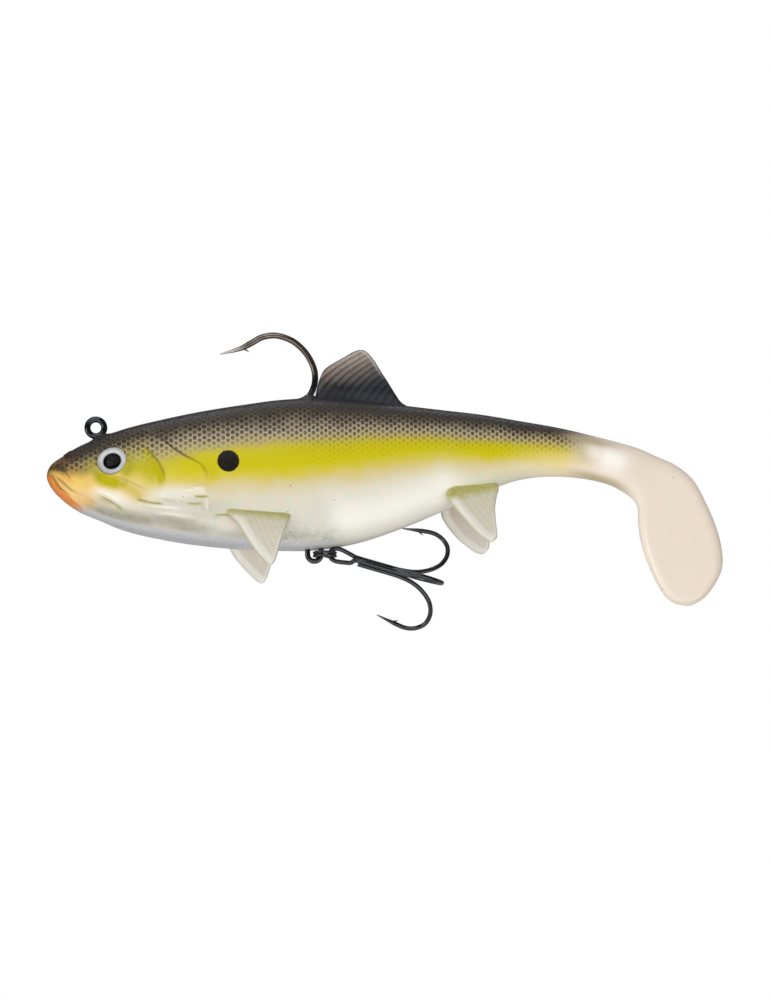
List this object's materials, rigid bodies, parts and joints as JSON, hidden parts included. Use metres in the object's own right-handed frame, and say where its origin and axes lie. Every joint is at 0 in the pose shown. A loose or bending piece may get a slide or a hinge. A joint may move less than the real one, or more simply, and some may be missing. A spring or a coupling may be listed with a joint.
{
  "type": "swimbait fishing lure",
  "caption": "Soft paddle-tail swimbait with internal lead weight, top jig hook, line-tie eye, splayed fins, 3-D eyes and a treble on a belly hanger and split ring.",
  "frame": {"origin": "centre of the line-tie eye, where the fishing line holds the lure", "axes": "+X from nose to tail, +Z to the back, +Y to the fish's right side; the hole of the line-tie eye runs along Y"},
  "size_m": [0.1404, 0.0366, 0.0613],
  "materials": {
    "painted_soft_plastic": "glossy soft plastic, dark back, yellow side stripe, pearl belly",
    "translucent_soft_plastic": "satin, milky translucent",
    "fin_soft_plastic": "satin, translucent cream with an olive root",
    "smoked_soft_plastic": "satin, smoky brown translucent",
    "lead": "dull cast lead",
    "black_nickel": "polished black nickel plate on steel wire",
    "braze_metal": "dull brazing metal",
    "silver_foil": "satin silver-white foil",
    "black_ink": "glossy black print",
    "clear_resin": "clear epoxy resin"
  },
  "bodies": {
    "body": {"body_shell": "painted_soft_plastic", "ballast": "lead", "jig_hook": "black_nickel", "belly_hanger": "black_nickel", "eye_foil_left": "silver_foil", "eye_foil_right": "silver_foil", "eye_pupil_left": "black_ink", "eye_pupil_right": "black_ink", "eye_dome_left": "clear_resin", "eye_dome_right": "clear_resin"},
    "tail_root": {"tail_root": "translucent_soft_plastic"},
    "tail_paddle": {"tail_paddle": "translucent_soft_plastic"},
    "dorsal_fin": {"dorsal_fin": "smoked_soft_plastic"},
    "pectoral_fin_left": {"pectoral_fin_left": "fin_soft_plastic"},
    "pectoral_fin_right": {"pectoral_fin_right": "fin_soft_plastic"},
    "pelvic_fin_left": {"pelvic_fin_left": "fin_soft_plastic"},
    "pelvic_fin_right": {"pelvic_fin_right": "fin_soft_plastic"},
    "split_ring": {"split_ring": "black_nickel"},
    "treble": {"treble_double_hook": "black_nickel", "treble_third_hook": "black_nickel", "treble_braze": "braze_metal"}
  },
  "joints": [
    {"name": "tail_sway", "type": "hinge", "parent": "body", "child": "tail_root", "pos_m": [0.092, 0, -0.0045], "axis": [0, 0, 1], "range_deg": [-30, 30], "stiffness_Nm_per_rad": 0.002},
    {"name": "paddle_kick", "type": "hinge", "parent": "tail_root", "child": "tail_paddle", "pos_m": [0.109, 0, -0.0074], "axis": [0.3971, 0, 0.9178], "range_deg": [-40, 40], "stiffness_Nm_per_rad": 0.001},
    {"name": "dorsal_flex", "type": "hinge", "parent": "body", "child": "dorsal_fin", "pos_m": [0.055, 0, 0.0072], "axis": [0.9972, 0, -0.0748], "range_deg": [-20, 20], "stiffness_Nm_per_rad": 0.0005},
    {"name": "pectoral_left_flex", "type": "hinge", "parent": "body", "child": "pectoral_fin_left", "pos_m": [0.034, -0.0099, -0.0189], "axis": [0.9959, 0, -0.091], "range_deg": [-20, 20], "stiffness_Nm_per_rad": 0.0005},
    {"name": "pectoral_right_flex", "type": "hinge", "parent": "body", "child": "pectoral_fin_right", "pos_m": [0.034, 0.0099, -0.0189], "axis": [0.9959, 0, -0.091], "range_deg": [-20, 20], "stiffness_Nm_per_rad": 0.0005},
    {"name": "pelvic_left_flex", "type": "hinge", "parent": "body", "child": "pelvic_fin_left", "pos_m": [0.0779, -0.00445, -0.0135], "axis": [0.9681, 0.228, 0.104], "range_deg": [-20, 20], "stiffness_Nm_per_rad": 0.0005},
    {"name": "pelvic_right_flex", "type": "hinge", "parent": "body", "child": "pelvic_fin_right", "pos_m": [0.0779, 0.00445, -0.0135], "axis": [0.9681, -0.228, 0.104], "range_deg": [-20, 20], "stiffness_Nm_per_rad": 0.0005},
    {"name": "ring_swing", "type": "hinge", "parent": "body", "child": "split_ring", "pos_m": [0.04515, 0, -0.02615], "axis": [0, 1, 0], "range_deg": [0, 80]},
    {"name": "treble_swing", "type": "hinge", "parent": "split_ring", "child": "treble", "pos_m": [0.04959, 0, -0.02615], "axis": [0, 1, 0], "range_deg": [0, 40]}
  ]
}
